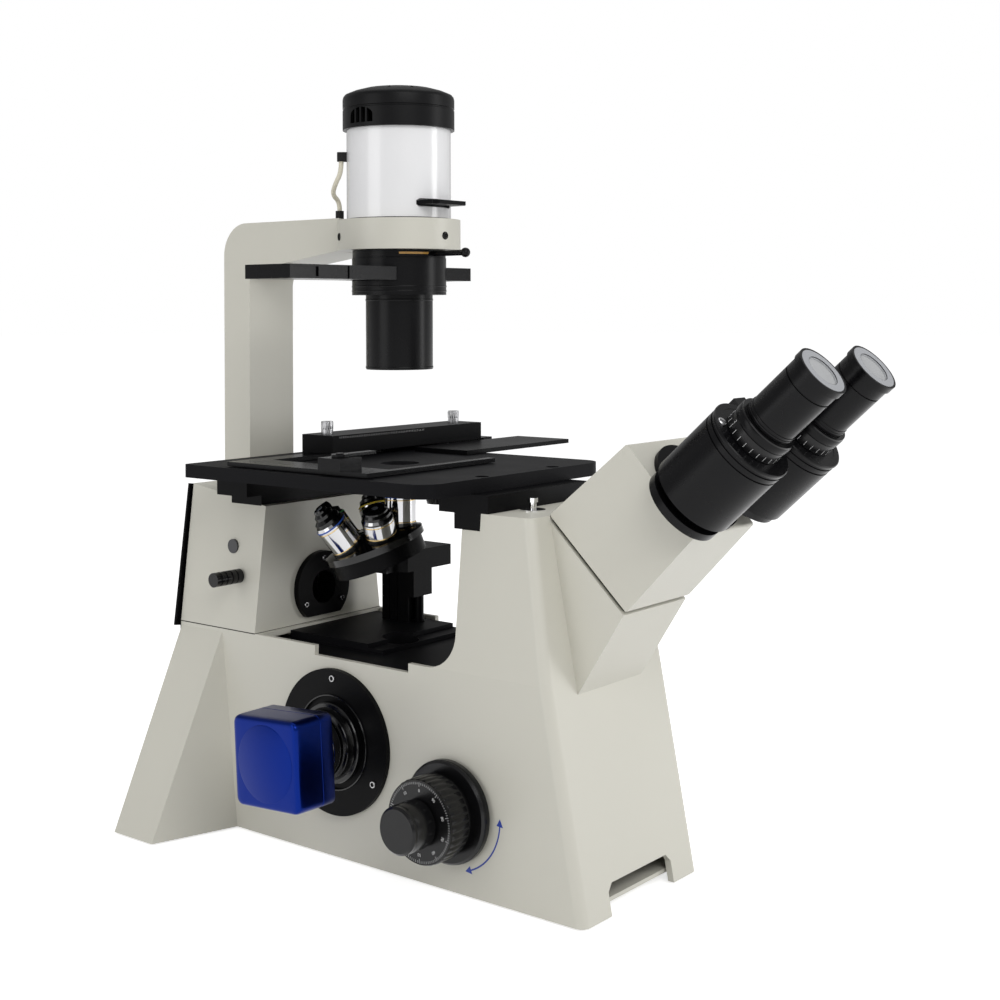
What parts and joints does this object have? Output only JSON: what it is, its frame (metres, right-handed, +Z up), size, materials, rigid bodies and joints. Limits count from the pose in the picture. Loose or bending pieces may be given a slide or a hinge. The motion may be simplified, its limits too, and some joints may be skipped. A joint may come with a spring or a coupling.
{
  "type": "inverted microscope",
  "caption": "Inverted light microscope: tower base with tilted binocular, objective turret under a flat stage, lamp and condenser on a rear arm, side camera port.",
  "frame": {"origin": "foot of the optical axis on the table that the feet stand on", "axes": "+Z up along the optical axis; the user sits at -Y and looks along +Y; -X is the side of the camera port"},
  "size_m": [0.3598, 0.5618, 0.5705],
  "materials": {
    "body_paint": "satin light grey paint on cast aluminium",
    "lamp_white": "glossy white paint",
    "black_anodised": "satin black anodised",
    "black_stage": "matte black coating",
    "steel_plate": "zinc-plated steel",
    "chrome": "bright chrome",
    "brass": "turned brass",
    "rubber": "black rubber",
    "glass": "coated optical glass",
    "mirror": "front-silvered mirror",
    "camera_blue": "metallic blue anodised",
    "ceramic": "white ceramic",
    "knob_black": "fine knurled black plastic",
    "cream_wire": "cream insulated lead"
  },
  "bodies": {
    "stand": {"base_casting": "body_paint", "base_plate": "steel_plate", "rubber_feet": "rubber", "deck_plate": "black_stage", "body_screws": "chrome", "rear_housing": "body_paint", "rear_cover": "black_anodised", "epi_tube": "black_anodised", "hole_plug": "knob_black", "head_flange": "black_anodised", "prism_head": "body_paint", "hinge_hub": "black_anodised", "hinge_clamp": "steel_plate", "optics_mounts": "black_anodised", "optics_glass": "glass", "lower_mirror": "mirror", "path_dish": "chrome", "side_port": "black_anodised", "camera_adapter": "black_anodised", "camera_body": "camera_blue", "focus_bushings": "brass", "focus_column": "black_anodised", "stage_plate": "black_stage", "stage_insert": "black_stage", "stage_posts": "black_anodised", "stage_rail": "black_anodised", "pillar_arm": "body_paint", "lamp_house": "lamp_white", "lamp_cap": "knob_black", "lamp_socket": "ceramic", "lamp_optics": "glass", "lead_glands": "knob_black", "lamp_lead": "cream_wire", "condenser_barrel": "black_anodised", "condenser_tube": "black_anodised"},
    "filter_slider": {"filter_slider": "black_anodised"},
    "light_path_rod": {"light_path_rod": "chrome"},
    "nosepiece": {"nosepiece_carriage": "black_anodised", "focus_lift": "steel_plate"},
    "turret": {"turret_disc": "chrome", "objectives": "chrome"},
    "coarse_drive": {"coarse_drive": "knob_black"},
    "fine_drive": {"fine_drive": "knob_black"},
    "tension_ring": {"tension_ring": "knob_black"},
    "left_tube": {"left_eyepiece_tube": "black_anodised", "left_eyepiece": "black_anodised"},
    "right_tube": {"right_eyepiece_tube": "black_anodised", "right_eyepiece": "black_anodised"},
    "left_diopter": {"left_diopter_ring": "black_anodised"},
    "right_diopter": {"right_diopter_ring": "black_anodised"},
    "phase_slider": {"phase_slider": "black_anodised"},
    "aperture_ring": {"aperture_ring": "black_anodised"},
    "filter_tray": {"filter_tray": "black_anodised"},
    "stage_y": {"stage_carrier": "black_anodised", "thumb_screws": "chrome"},
    "specimen_frame": {"specimen_frame": "black_anodised"},
    "holder_finger": {"holder_finger": "chrome"},
    "stage_y_drive": {"stage_y_drive": "knob_black"},
    "stage_x_drive": {"stage_x_drive": "knob_black"}
  },
  "joints": [
    {"name": "filter_pull", "type": "slide", "parent": "stand", "child": "filter_slider", "axis": [-1, 0, 0], "range_m": [0, 0.025]},
    {"name": "path_pull", "type": "slide", "parent": "stand", "child": "light_path_rod", "axis": [0, 0, 1], "range_m": [0, 0.01]},
    {"name": "nosepiece_lift", "type": "slide", "parent": "stand", "child": "nosepiece", "axis": [0, 0, 1], "range_m": [-0.002, 0.005]},
    {"name": "turret_turn", "type": "hinge", "parent": "nosepiece", "child": "turret", "pos_m": [-0.01595, 0.01595, 0.23029], "axis": [-0.2418, 0.2418, 0.9397], "continuous": true},
    {"name": "coarse_turn", "type": "hinge", "parent": "stand", "child": "coarse_drive", "pos_m": [0, -0.111, 0.058], "axis": [1, 0, 0], "range_deg": [-20, 48.5]},
    {"name": "fine_turn", "type": "hinge", "parent": "stand", "child": "fine_drive", "pos_m": [0, -0.111, 0.058], "axis": [1, 0, 0], "continuous": true},
    {"name": "tension_turn", "type": "hinge", "parent": "stand", "child": "tension_ring", "pos_m": [0, -0.111, 0.058], "axis": [1, 0, 0], "range_deg": [-60, 60]},
    {"name": "left_tube_swing", "type": "hinge", "parent": "stand", "child": "left_tube", "pos_m": [0, -0.26194, 0.28187], "axis": [0, -0.7431, 0.6691], "range_deg": [-21, 15]},
    {"name": "right_tube_swing", "type": "hinge", "parent": "stand", "child": "right_tube", "pos_m": [0, -0.26194, 0.28187], "axis": [0, -0.7431, 0.6691], "range_deg": [-15, 21]},
    {"name": "left_diopter_turn", "type": "hinge", "parent": "left_tube", "child": "left_diopter", "pos_m": [-0.035, -0.32445, 0.32004], "axis": [0, -0.7431, 0.6691], "range_deg": [-90, 90]},
    {"name": "right_diopter_turn", "type": "hinge", "parent": "right_tube", "child": "right_diopter", "pos_m": [0.035, -0.32445, 0.32004], "axis": [0, -0.7431, 0.6691], "range_deg": [-90, 90]},
    {"name": "phase_slide", "type": "slide", "parent": "stand", "child": "phase_slider", "axis": [1, 0, 0], "range_m": [-0.042, 0.042]},
    {"name": "aperture_turn", "type": "hinge", "parent": "stand", "child": "aperture_ring", "pos_m": [0, 0, 0.44], "axis": [0, 0, 1], "range_deg": [-35, 35]},
    {"name": "filter_tray_slide", "type": "slide", "parent": "stand", "child": "filter_tray", "axis": [0, -1, 0], "range_m": [0, 0.055]},
    {"name": "stage_y_slide", "type": "slide", "parent": "stand", "child": "stage_y", "axis": [0, 1, 0], "range_m": [-0.038, 0.04]},
    {"name": "stage_x_slide", "type": "slide", "parent": "stage_y", "child": "specimen_frame", "axis": [1, 0, 0], "range_m": [-0.06, 0.06]},
    {"name": "finger_swing", "type": "hinge", "parent": "specimen_frame", "child": "holder_finger", "pos_m": [-0.091, -0.025, 0.2963], "axis": [0, 0, 1], "range_deg": [-60, 60]},
    {"name": "stage_y_turn", "type": "hinge", "parent": "stage_y", "child": "stage_y_drive", "pos_m": [0.1198, 0.062, 0.2605], "axis": [0, 0, 1], "range_deg": [-365, 385]},
    {"name": "stage_x_turn", "type": "hinge", "parent": "stage_y", "child": "stage_x_drive", "pos_m": [0.1198, 0.062, 0.2605], "axis": [0, 0, 1], "range_deg": [-576, 576]}
  ],
  "couplings": [
    {"joint": "coarse_turn", "follows": "nosepiece_lift", "rad_per_m": 166.67},
    {"joint": "right_tube_swing", "follows": "left_tube_swing", "ratio": -1},
    {"joint": "stage_y_turn", "follows": "stage_y_slide", "rad_per_m": 166.67},
    {"joint": "stage_x_turn", "follows": "stage_x_slide", "rad_per_m": -166.67}
  ]
}
